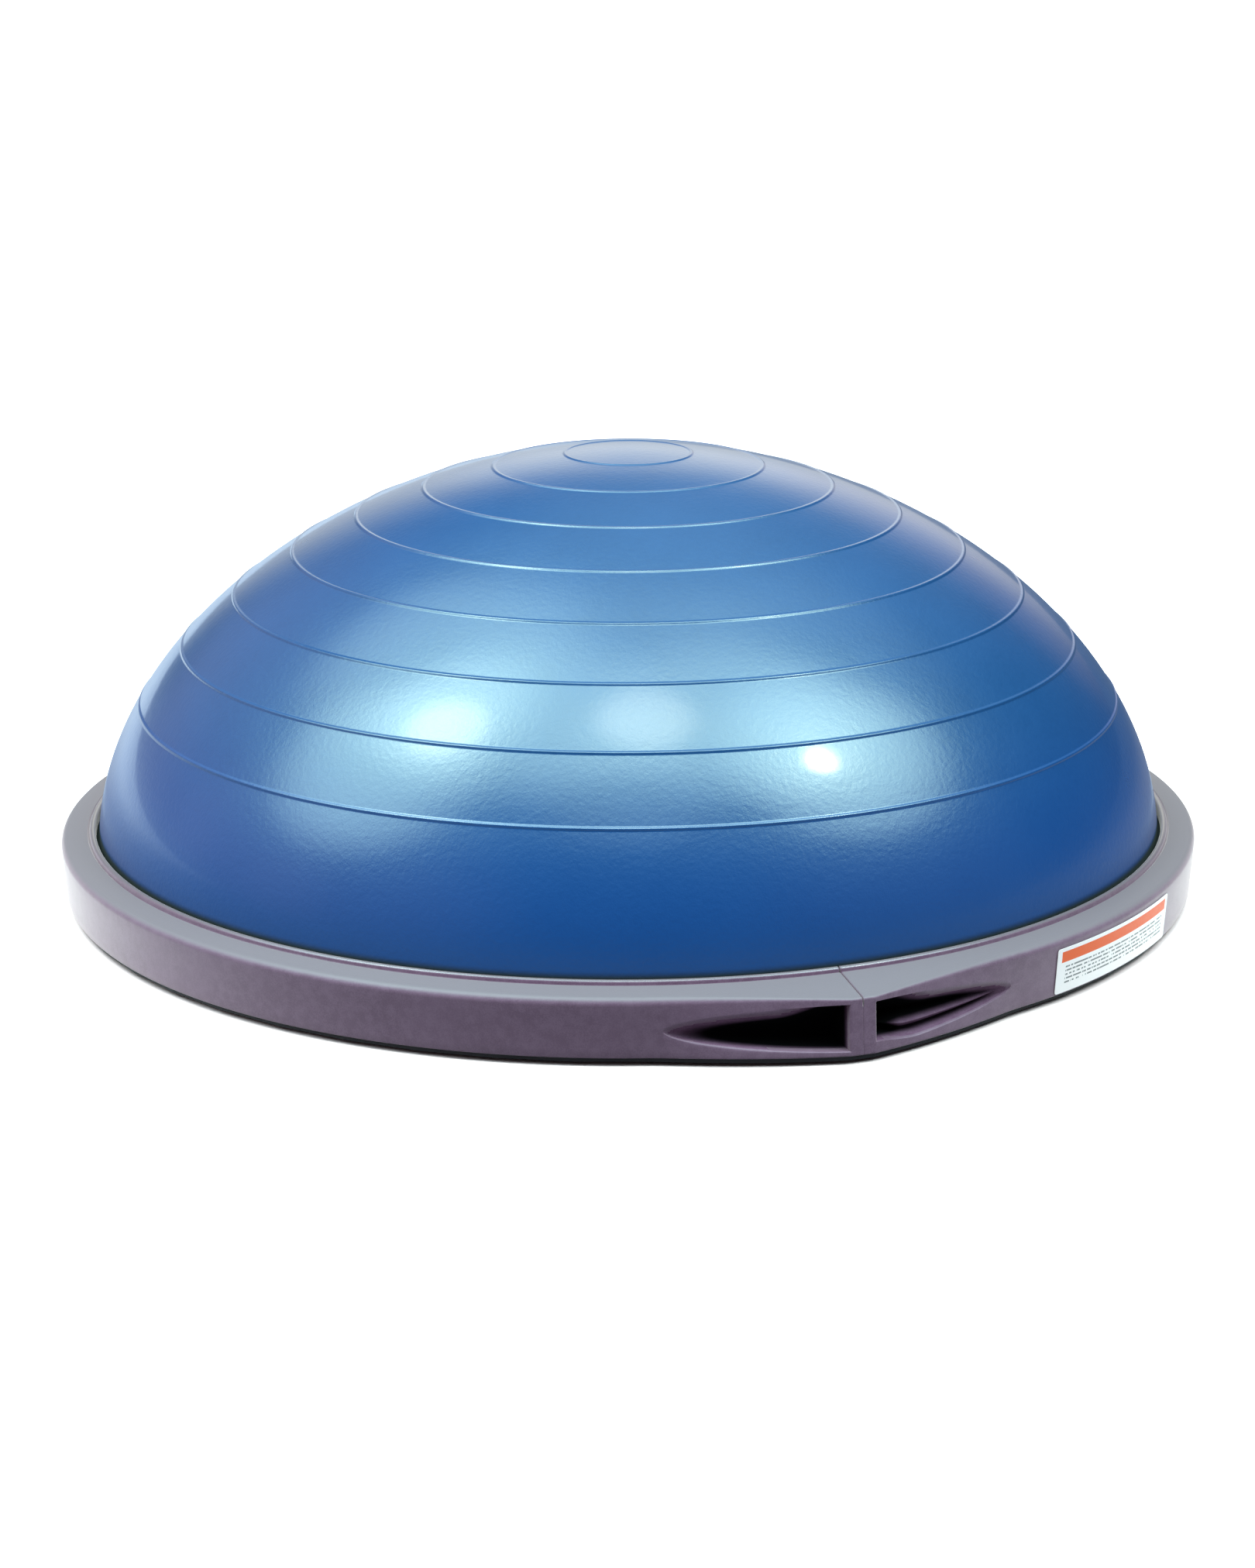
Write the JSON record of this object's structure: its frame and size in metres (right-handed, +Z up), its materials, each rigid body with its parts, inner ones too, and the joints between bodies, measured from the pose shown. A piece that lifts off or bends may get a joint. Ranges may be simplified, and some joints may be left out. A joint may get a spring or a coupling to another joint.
{
  "type": "balance dome trainer",
  "caption": "Inflated half dome of vinyl with raised concentric rings, clamped by a split plastic rim with hand-grips on a flat round platform; press to balance on it.",
  "frame": {"origin": "on the floor under the middle of the dome, where the feet stand", "axes": "+Z up through the dome's top; +Y along the line through the two hand-grips; +X across it"},
  "size_m": [0.639, 0.67, 0.2453],
  "materials": {
    "dome_vinyl": "glossy moulded vinyl",
    "rim_plastic": "satin moulded grey",
    "platform_plastic": "fine moulded texture, near black",
    "black_rubber": "matte",
    "zinc_steel": "zinc plated",
    "plug_plastic": "satin",
    "printed_film": "printed film"
  },
  "bodies": {
    "platform": {"base_pan": "platform_plastic", "rim_half_right": "rim_plastic", "rim_half_left": "rim_plastic", "seal_ring": "black_rubber", "valve_body": "black_rubber", "rim_label": "printed_film", "rim_screw_01": "zinc_steel", "rim_screw_02": "zinc_steel", "rim_screw_03": "zinc_steel", "rim_screw_04": "zinc_steel", "rim_screw_05": "zinc_steel", "rim_screw_06": "zinc_steel", "rim_screw_07": "zinc_steel", "rim_screw_08": "zinc_steel", "rim_screw_09": "zinc_steel", "rim_screw_10": "zinc_steel", "rim_screw_11": "zinc_steel", "rim_screw_12": "zinc_steel", "foot_1": "black_rubber", "foot_2": "black_rubber", "foot_3": "black_rubber", "foot_4": "black_rubber", "foot_5": "black_rubber", "foot_6": "black_rubber", "foot_7": "black_rubber", "foot_8": "black_rubber"},
    "dome": {"dome_skin": "dome_vinyl"},
    "valve_plug": {"valve_plug": "plug_plastic"}
  },
  "joints": [
    {"name": "dome_press", "type": "slide", "parent": "platform", "child": "dome", "axis": [0, 0, -1], "range_m": [0, 0.025], "stiffness_N_per_m": 30000, "deforming": ["dome_skin"]},
    {"name": "plug_pull", "type": "slide", "parent": "platform", "child": "valve_plug", "axis": [0, 0, -1], "range_m": [0, 0.016]}
  ]
}
